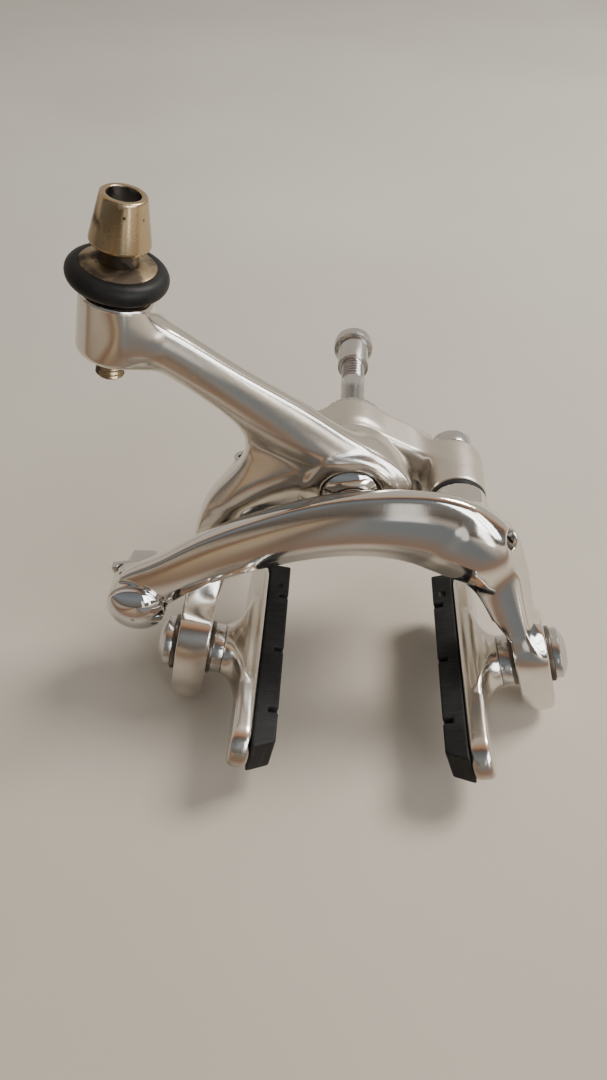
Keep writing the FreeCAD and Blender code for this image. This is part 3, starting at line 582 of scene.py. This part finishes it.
def add_node(tree, kind, settings=None, **inputs):
    """A shader node; an input is a value or another node's socket. Its names use _ for a space."""
    node = tree.nodes.new(kind)
    for key, value in (settings or {}).items():
        setattr(node, key, value)
    for key, value in inputs.items():
        numbered = key[0] == "i" and key[1:].isdigit()
        socket = node.inputs[int(key[1:]) if numbered else key.replace("_", " ")]
        if isinstance(value, bpy.types.NodeSocket):
            tree.links.new(value, socket)
        else:
            socket.default_value = value
    return node


def place_of(tree, stretch=(1, 1, 1), turn=(0, 0, 0)):
    """Coordinates on the piece itself, in metres, stretched and turned."""
    coordinates = add_node(tree, "ShaderNodeTexCoord")
    mapping = add_node(tree, "ShaderNodeMapping", Vector=coordinates.outputs["Object"], Scale=stretch,
                       Rotation=turn)
    return mapping.outputs["Vector"]


def noise(tree, scale, detail=4.0, stretch=(1, 1, 1), turn=(0, 0, 0)):
    texture = add_node(tree, "ShaderNodeTexNoise", Vector=place_of(tree, stretch, turn), Scale=scale,
                       Detail=detail)
    return texture.outputs["Fac"]


def remap(tree, value, low, high, to_low, to_high):
    node = add_node(tree, "ShaderNodeMapRange", {"clamp": True}, Value=value)
    node.inputs["From Min"].default_value = low
    node.inputs["From Max"].default_value = high
    node.inputs["To Min"].default_value = to_low
    node.inputs["To Max"].default_value = to_high
    return node.outputs["Result"]


def blend_colour(tree, share, first, second):
    node = add_node(tree, "ShaderNodeMix", {"data_type": "RGBA"}, Factor=share)
    first_socket, second_socket = [s for s in node.inputs if s.type == "RGBA"]
    for socket, colour in ((first_socket, first), (second_socket, second)):
        if isinstance(colour, bpy.types.NodeSocket):
            tree.links.new(colour, socket)
        else:
            socket.default_value = (*colour, 1)
    return [s for s in node.outputs if s.type == "RGBA"][0]


def colour_bands(tree, share, bands):
    """A colour for each share from 0 to 1, blended between (place, colour) bands."""
    node = add_node(tree, "ShaderNodeValToRGB", Fac=share)
    while len(node.color_ramp.elements) < len(bands):
        node.color_ramp.elements.new(0.5)
    for element, (place, colour) in zip(node.color_ramp.elements, bands):
        element.position = place
        element.color = (*colour, 1)
    return node.outputs["Color"]


def add_values(tree, first, second, operation="ADD"):
    return add_node(tree, "ShaderNodeMath", {"operation": operation}, i0=first, i1=second).outputs[0]


def bump(tree, height, strength, distance, normal=None):
    node = add_node(tree, "ShaderNodeBump", Height=height, Strength=strength, Distance=distance)
    if normal is not None:
        tree.links.new(normal, node.inputs["Normal"])
    return node.outputs["Normal"]


def metal(name, colour, rough, scratch=0.06, grime=None, pits=0.0, grain=0.0, pits_above=None):
    """Bare or plated metal: smudges, hairline scratches, small pits and, if asked, dirt."""
    material, tree, shader = new_material(name)
    shader.inputs["Metallic"].default_value = 1.0
    smudge = noise(tree, 90.0, 5.0)
    tint = remap(tree, smudge, 0.3, 0.7, 0.0, 1.0)
    darker = tuple(c * 0.90 for c in colour)
    shade = blend_colour(tree, tint, colour, darker)
    lines = noise(tree, 260.0, 3.0, (1, 1, 14), (0.4, 0.9, 0.2))
    cross = noise(tree, 300.0, 3.0, (12, 1, 1), (0.2, 0.3, 0.7))
    hair = add_values(tree, remap(tree, lines, 0.60, 0.72, 0.0, 1.0),
                      remap(tree, cross, 0.62, 0.74, 0.0, 1.0), "MAXIMUM")
    roughness = add_values(tree, remap(tree, smudge, 0.35, 0.75, rough * 0.8, rough * 1.3),
                           remap(tree, hair, 0.0, 1.0, 0.0, scratch))
    height = add_values(tree, remap(tree, hair, 0.0, 1.0, 1.0, 0.75),
                        remap(tree, noise(tree, 900.0, 2.0), 0.3, 0.7, 0.0, grain))
    if pits:
        spots = add_node(tree, "ShaderNodeTexVoronoi", Vector=place_of(tree), Scale=420.0)
        patches = remap(tree, noise(tree, 60.0, 2.0), 0.60 - pits, 0.68 - pits, 0.0, 1.0)
        spot = remap(tree, spots.outputs["Distance"], 0.10, 0.16, 1.0, 0.0)
        pit = add_values(tree, spot, patches, "MULTIPLY")
        if pits_above:
            parts = add_node(tree, "ShaderNodeSeparateXYZ", Vector=place_of(tree))
            high = remap(tree, parts.outputs["Z"], pits_above, pits_above + 0.002, 0.0, 1.0)
            pit = add_values(tree, pit, high, "MULTIPLY")
        shade = blend_colour(tree, pit, shade, (0.05, 0.04, 0.03))
        roughness = add_values(tree, roughness, remap(tree, pit, 0.0, 1.0, 0.0, 0.5))
        height = add_values(tree, height, remap(tree, pit, 0.0, 1.0, 0.0, -2.0))
    if grime:
        dirt = remap(tree, noise(tree, 170.0, 6.0), 0.60 - grime, 0.72 - grime, 0.0, 1.0)
        shade = blend_colour(tree, dirt, shade, (0.07, 0.05, 0.03))
        roughness = add_values(tree, roughness, remap(tree, dirt, 0.0, 1.0, 0.0, 0.35))
        tree.links.new(remap(tree, dirt, 0.0, 1.0, 1.0, 0.35), shader.inputs["Metallic"])
    tree.links.new(shade, shader.inputs["Base Color"])
    tree.links.new(roughness, shader.inputs["Roughness"])
    tree.links.new(bump(tree, height, 0.25, 0.00002), shader.inputs["Normal"])
    return material


def rubber(name, colour, rough, grain_scale, mould_lines=False):
    """Moulded rubber: fine grain, dusty patches and scuffs."""
    material, tree, shader = new_material(name)
    dust = remap(tree, noise(tree, 120.0, 6.0), 0.45, 0.75, 0.0, 1.0)
    lighter = tuple(c * 1.8 + 0.006 for c in colour)
    shade = blend_colour(tree, dust, colour, lighter)
    grain = noise(tree, grain_scale, 3.0)
    height = grain
    if mould_lines:
        scuffs = remap(tree, noise(tree, 220.0, 4.0, (1, 16, 1)), 0.55, 0.70, 0.0, 1.0)
        shade = blend_colour(tree, remap(tree, scuffs, 0.0, 1.0, 0.0, 0.35), shade, (0.06, 0.057, 0.054))
        height = add_values(tree, grain, remap(tree, scuffs, 0.0, 1.0, 0.0, -0.6))
    tree.links.new(shade, shader.inputs["Base Color"])
    tree.links.new(remap(tree, dust, 0.0, 1.0, rough, rough + 0.2), shader.inputs["Roughness"])
    tree.links.new(bump(tree, height, 0.5, 0.00003), shader.inputs["Normal"])
    shader.inputs["Specular IOR Level"].default_value = 0.2
    return material


POLISHED = metal("polished alloy", (0.80, 0.775, 0.735), 0.11, 0.05)
BRUSHED = metal("brushed alloy", (0.79, 0.75, 0.69), 0.19, 0.06, pits=0.10, grain=0.2, pits_above=0.034)
SATIN = metal("satin alloy", (0.70, 0.655, 0.59), 0.38, 0.05, grain=0.8)
CHROME = metal("chrome", (0.82, 0.81, 0.80), 0.04, 0.02)
STEEL = metal("plated steel", (0.64, 0.63, 0.62), 0.22, 0.08)
DARK_STEEL = metal("dark steel", (0.20, 0.18, 0.16), 0.34, 0.10, grime=0.10, pits=0.08)
WORN_NICKEL = metal("worn nickel", (0.50, 0.39, 0.245), 0.24, 0.10, grime=0.06, pits=0.10)
GRIMY_NICKEL = metal("grimy nickel", (0.34, 0.265, 0.17), 0.38, 0.10, grime=0.18, pits=0.10)
BRONZE = metal("bronze", (0.62, 0.45, 0.26), 0.35, 0.08, grime=0.05)
RUBBER = rubber("ring rubber", (0.008, 0.008, 0.008), 0.40, 1500.0)
PAD_RUBBER = rubber("pad rubber", (0.013, 0.013, 0.013), 0.52, 1900.0, mould_lines=True)
PLASTIC = rubber("black plastic", (0.015, 0.015, 0.015), 0.42, 2400.0)


# ---- the pieces ----
def make_forgings():
    step = FORGING_STEP
    jobs = (("rear_arm_forging", y_arm_field, "y_arm", "polished_alloy", BRUSHED),
            ("front_arm_forging", c_arm_field, "c_arm", "polished_alloy", POLISHED),
            ("bridge_forging", bridge_field, "bridge", "satin_alloy", SATIN))
    for name, field, node, slot, material in jobs:
        low, high = node_span(node, 1.5)
        points, quads = mesh_field(field, low, high, step)
        add_mesh(name, points, quads, node, material, [node])


def make_shoes():
    step = SHOE_STEP
    half = np.array([0.0, HOLDER_LENGTH / 2 + 1.5, HOLDER_HALF_H + 1.5])
    middle = np.array([0.0, SHOE_MIDDLE, 0.0])
    parts = (("shoe_holder", holder_field, -17.5, -6.0, "pad_holder", "polished_alloy", BRUSHED),
             ("shoe_rubber", pad_field, -22.8, -12.5, "brake_pad", "pad_compound", PAD_RUBBER))
    for name, field, x_low, x_high, node, slot, material in parts:
        low, high = middle - half, middle + half
        low[0], high[0] = x_low, x_high
        points, quads = mesh_field(field, low, high, step)
        for side in ("left", "right"):
            faces = quads[:, ::-1] if side == "left" else quads
            add_mesh(f"{side}_{name}", from_shoe(points, side), faces, f"{side}_shoe", material,
                     [f"{side}_{node}"])


def make_bolt():
    outline = [(0.01, -26.6), (2.2, -26.6), (2.4, -26.4), (2.4, -25.1), (JOURNAL_R - 0.2, -24.95),
               (JOURNAL_R, -24.75), (JOURNAL_R, -0.2), (JOURNAL_R - 0.2, 0.0), (BOLT_R, 0.0),
               (BOLT_R, SHANK_END - 0.3), (BOLT_R - 0.04, SHANK_END), (BOLT_R - 0.04, THREAD_END),
               (2.7, THREAD_END + 0.2), (2.7, 30.6), (2.3, 31.0), (0.01, 31.0)]
    points, faces = spun(outline, thread=(SHANK_END, THREAD_END, 1.2, 0.6))
    add_mesh("threaded_bolt", aim(points, (0, 0, 0), BACK), faces, "bridge", STEEL, ["centre_bolt"])


def make_adjuster():
    """The cable-stop cone on its threaded stem, dark steel in its neck and in its bore as painted shade, and
    its grooved wheel.
    """
    barrel = [(1.1, 0.0), (STEM_R - 0.4, 0.0), (STEM_R, 0.4), (STEM_R, STEM_END), (NECK_R, WHEEL_TOP),
              (NECK_R, NECK_TOP), (3.7, 27.15), (5.15, 27.2), (5.38, 27.35), (5.47, 27.6), (5.45, 27.9),
              (4.12, 35.5), (4.02, 35.85), (3.8, CONE_TOP), (3.1, CONE_TOP), (2.97, 35.9), (BORE_R, 35.7),
              (BORE_R, BORE_FLOOR), (1.1, BORE_FLOOR)]
    points, faces = spun(barrel, thread=(0.4, STEM_END, 1.0, 0.4))
    widest = np.hypot(points[:, 0], points[:, 1])[faces].max(axis=1)
    height = points[:, 2][faces].mean(axis=1)
    bore = (widest < BORE_R + 0.03) & (height > NECK_TOP)
    neck = (widest < NECK_R + 0.1) & (height > STEM_END) & (height < NECK_TOP + 0.2)
    cone = add_mesh("adjuster_cone", aim(points, ADJUSTER_START, ADJUSTER_AXIS), faces, "adjuster",
                    WORN_NICKEL, ["adjuster_barrel"])
    # the bore and neck faces get dark steel; inside the bore this is painted shade
    cone.data.materials.append(DARK_STEEL)
    cone.data.polygons.foreach_set("material_index", (bore | neck).astype(np.int32))
    groove = []
    for degrees in range(260, 99, -10):
        turn = math.radians(degrees)
        groove.append((7.3 + 2.02 * math.cos(turn), O_RING_HEIGHT + 2.02 * math.sin(turn)))
    lower_edge = [(2.85, WHEEL_BOTTOM), (6.4, WHEEL_BOTTOM), (6.75, 19.1)]
    upper_edge = [(6.75, 23.4), (6.5, 23.5), (4.3, 23.95), (2.85, WHEEL_TOP)]
    wheel = lower_edge + groove + upper_edge
    points, faces = spun(wheel)
    add_mesh("adjuster_finger_wheel", aim(points, ADJUSTER_START, ADJUSTER_AXIS), faces, "adjuster",
             GRIMY_NICKEL, ["adjuster_wheel"])


def make_spring():
    """Two coils round the centre pivot, one end back into the bridge, the other to its plastic shoe."""
    angles = np.linspace(math.pi, math.pi + 3.5 * math.pi, 160)
    coil_y = np.linspace(-13.95, -15.6, len(angles))
    coil = np.stack([SPRING_R * np.cos(angles), coil_y, SPRING_R * np.sin(angles)], axis=1)
    fixed_end = [(-SPRING_R, y, 0.0) for y in np.linspace(-7.6, -13.0, 10)]
    moving_end = [(x, -15.6, coil[-1][2]) for x in np.linspace(coil[-1][0] - 1.0, -20.4, 16)]
    points, faces = tube(fixed_end + coil.tolist() + moving_end, SPRING_WIRE_R - 0.05)
    add_mesh("wire_spring", points, faces, "bridge", STEEL, ["return_spring"])


KEPT_NODES = {
    "mount_washer": STEEL, "centre_cap": CHROME, "rear_thrust_washer": DARK_STEEL,
    "front_thrust_washer": DARK_STEEL, "side_pivot_bolt": STEEL, "side_washer": PLASTIC,
    "recessed_nut": STEEL, "centre_bush": BRONZE, "spring_holder": PLASTIC, "tension_screw": STEEL,
    "side_bush": BRONZE, "roller_pin": STEEL, "link_roller": STEEL, "centring_screw": DARK_STEEL,
    "adjuster_o_ring": RUBBER, "adjuster_washer": PLASTIC, "anchor_bolt": CHROME,
    "anchor_clamp": STEEL, "anchor_nut": STEEL,
}
for side in ("left", "right"):
    KEPT_NODES[f"{side}_pad_bolt"] = STEEL
    KEPT_NODES[f"{side}_outer_washer"] = DARK_STEEL
    KEPT_NODES[f"{side}_inner_washer"] = DARK_STEEL
    KEPT_NODES[f"{side}_ball_washer"] = STEEL
    KEPT_NODES[f"{side}_cup_washer"] = STEEL


def dress_kept_nodes():
    """The CAD's own hardware gets its material, and all but the O-ring a fine bevel on its sharper edges."""
    for name, material in KEPT_NODES.items():
        node = frame["nodes"][name]
        node.data.materials.clear()
        node.data.materials.append(material)
        node.data.polygons.foreach_set("use_smooth", np.ones(len(node.data.polygons), bool))
        if name == "adjuster_o_ring":
            continue
        weld = node.modifiers.new("weld", "WELD")
        weld.merge_threshold = 0.000002
        bevel = node.modifiers.new("bevel", "BEVEL")
        bevel.width = 0.00016
        bevel.segments = 2
        bevel.limit_method = "ANGLE"
        bevel.angle_limit = math.radians(35)
        bevel.harden_normals = True


# ---- floor, light and camera ----
def make_floor():
    """Pale paper, darker and warmer towards the front as painted shade. For glossy rays the strip in front
    of the caliper carries a painted reflection of a dim room.
    """
    low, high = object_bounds()
    size = 3.0
    mesh = bpy.data.meshes.new("paper")
    z = low[2] - 0.0003
    mesh.from_pydata([(-size, -size, z), (size, -size, z), (size, size, z), (-size, size, z)], [],
                     [(0, 1, 2, 3)])
    floor = bpy.data.objects.new("paper", mesh)
    bpy.context.scene.collection.objects.link(floor)
    material, tree, shader = new_material("warm grey paper with painted shade and reflection")
    cloudy = remap(tree, noise(tree, 7.0, 3.0), 0.35, 0.65, 0.0, 1.0)
    spot = add_node(tree, "ShaderNodeSeparateXYZ", Vector=place_of(tree))
    # painted shade: the paper's colour grows darker and warmer towards the front, standing in for light
    # falling off
    painted_light_to_back = remap(tree, spot.outputs["Y"], -0.12, 0.25, 0.0, 1.0)
    paler_paper_with_painted_shade = blend_colour(tree, painted_light_to_back, (0.54, 0.475, 0.395), (0.63, 0.60, 0.535))
    darker_paper_with_painted_shade = blend_colour(tree, painted_light_to_back, (0.50, 0.435, 0.36), (0.59, 0.56, 0.495))
    shade = blend_colour(tree, cloudy, darker_paper_with_painted_shade, paler_paper_with_painted_shade)
    # painted reflection: for glossy rays only, the paper in front of the caliper takes dim brown, gold and
    # blue-grey bands for the metal to mirror
    ahead = remap(tree, spot.outputs["Y"], -0.085, -0.060, 1.0, 0.0)
    far = remap(tree, spot.outputs["Y"], -0.16, -0.08, 1.0, 0.0)
    sideways = remap(tree, spot.outputs["X"], -0.20, 0.20, 0.0, 1.0)
    painted_reflection_tones = colour_bands(tree, sideways, ((0.0, (0.45, 0.38, 0.30)), (0.20, (0.16, 0.08, 0.045)),
                                          (0.27, (0.40, 0.30, 0.18)), (0.36, (0.34, 0.27, 0.20)),
                                          (0.42, (0.14, 0.10, 0.07)), (0.48, (0.20, 0.19, 0.18)),
                                          (0.55, (0.135, 0.15, 0.16)), (0.70, (0.10, 0.11, 0.12)),
                                          (0.80, (0.30, 0.26, 0.22)), (1.0, (0.45, 0.40, 0.34))))
    room = blend_colour(tree, far, (0.20, 0.13, 0.09), painted_reflection_tones)
    mirrored = add_node(tree, "ShaderNodeLightPath").outputs["Is Glossy Ray"]
    shade = blend_colour(tree, add_values(tree, ahead, mirrored, "MULTIPLY"), shade, room)
    tree.links.new(shade, shader.inputs["Base Color"])
    shader.inputs["Roughness"].default_value = 0.85
    shader.inputs["Specular IOR Level"].default_value = 0.2
    fibres = noise(tree, 1400.0, 4.0)
    tree.links.new(bump(tree, fibres, 0.25, 0.00005), shader.inputs["Normal"])
    mesh.materials.append(material)


def make_room():
    """A soft even fill, and for mirrors a room: pale behind and overhead, dim and cooler in front."""
    world = bpy.data.worlds.new("room")
    bpy.context.scene.world = world
    world.use_nodes = True
    tree = world.node_tree
    background = tree.nodes["Background"]
    direction = add_node(tree, "ShaderNodeTexCoord")
    parts = add_node(tree, "ShaderNodeSeparateXYZ", Vector=direction.outputs["Generated"])
    forward = add_values(tree, parts.outputs["Y"], -1.0, "MULTIPLY")
    angle = add_values(tree, parts.outputs["Z"], forward, "ARCTAN2")
    share = remap(tree, angle, -math.pi, math.pi, 0.0, 1.0)
    bands = ((0, (0.60, 0.55, 0.48)), (20, (0.60, 0.55, 0.48)), (130, (0.16, 0.12, 0.10)),
             (178, (0.09, 0.07, 0.055)), (186, (0.17, 0.15, 0.13)), (205, (0.22, 0.24, 0.255)),
             (230, (0.15, 0.155, 0.16)), (246, (0.12, 0.08, 0.06)), (256, (0.50, 0.26, 0.14)),
             (268, (0.52, 0.36, 0.25)), (280, (0.56, 0.49, 0.42)), (360, (0.60, 0.55, 0.48)))
    mirrored_room = colour_bands(tree, share, [(degrees / 360, colour) for degrees, colour in bands])
    mirrored = add_node(tree, "ShaderNodeLightPath").outputs["Is Glossy Ray"]
    shade = blend_colour(tree, mirrored, (0.36, 0.345, 0.325), mirrored_room)
    tree.links.new(shade, background.inputs["Color"])
    background.inputs["Strength"].default_value = 1.0


def add_light(name, place, size, power, colour, aim_at=(0, -0.02, -0.02)):
    light = bpy.data.lights.new(name, "AREA")
    light.shape = "RECTANGLE"
    light.size, light.size_y = size
    light.energy = power
    light.color = colour
    lamp = bpy.data.objects.new(name, light)
    lamp.location = place
    lamp.rotation_euler = (Vector(aim_at) - Vector(place)).to_track_quat("-Z", "Y").to_euler()
    bpy.context.scene.collection.objects.link(lamp)
    return lamp


def add_lights():
    add_light("key", (0.60, 0.28, 0.80), (0.36, 0.36), 11.0, (1.0, 0.955, 0.90))
    for name, x, y in (("left", 0.40, -0.70), ("middle", 0.58, -0.56), ("right", 0.72, -0.38)):
        add_light(f"window_{name}_pane", (x, y, 0.32), (0.19, 0.42), 1.6, (0.95, 0.98, 1.0))
    # small panes close to the floor, seen only as reflections
    for name, x, power in (("left", 0.036, 0.007), ("right", 0.135, 0.030)):
        pane = add_light(f"low_{name}_pane", (x, -0.25, 0.008), (0.030, 0.080), power, (1.0, 0.97, 0.92),
                         (x, 0.0, 0.008))
        pane.visible_diffuse = False


def add_camera():
    data = bpy.data.cameras.new("camera")
    data.sensor_width = 36.0
    data.lens = 27.33
    data.clip_start = 0.005
    camera = bpy.data.objects.new("camera", data)
    camera.location = (-0.0033, -0.1617, 0.1191)
    camera.rotation_euler = (math.radians(45.5), 0.0, math.radians(3.0))
    bpy.context.scene.collection.objects.link(camera)
    bpy.context.scene.camera = camera


add_camera()
make_forgings()
make_shoes()
make_bolt()
make_adjuster()
make_spring()
dress_kept_nodes()
make_floor()
make_room()
add_lights()
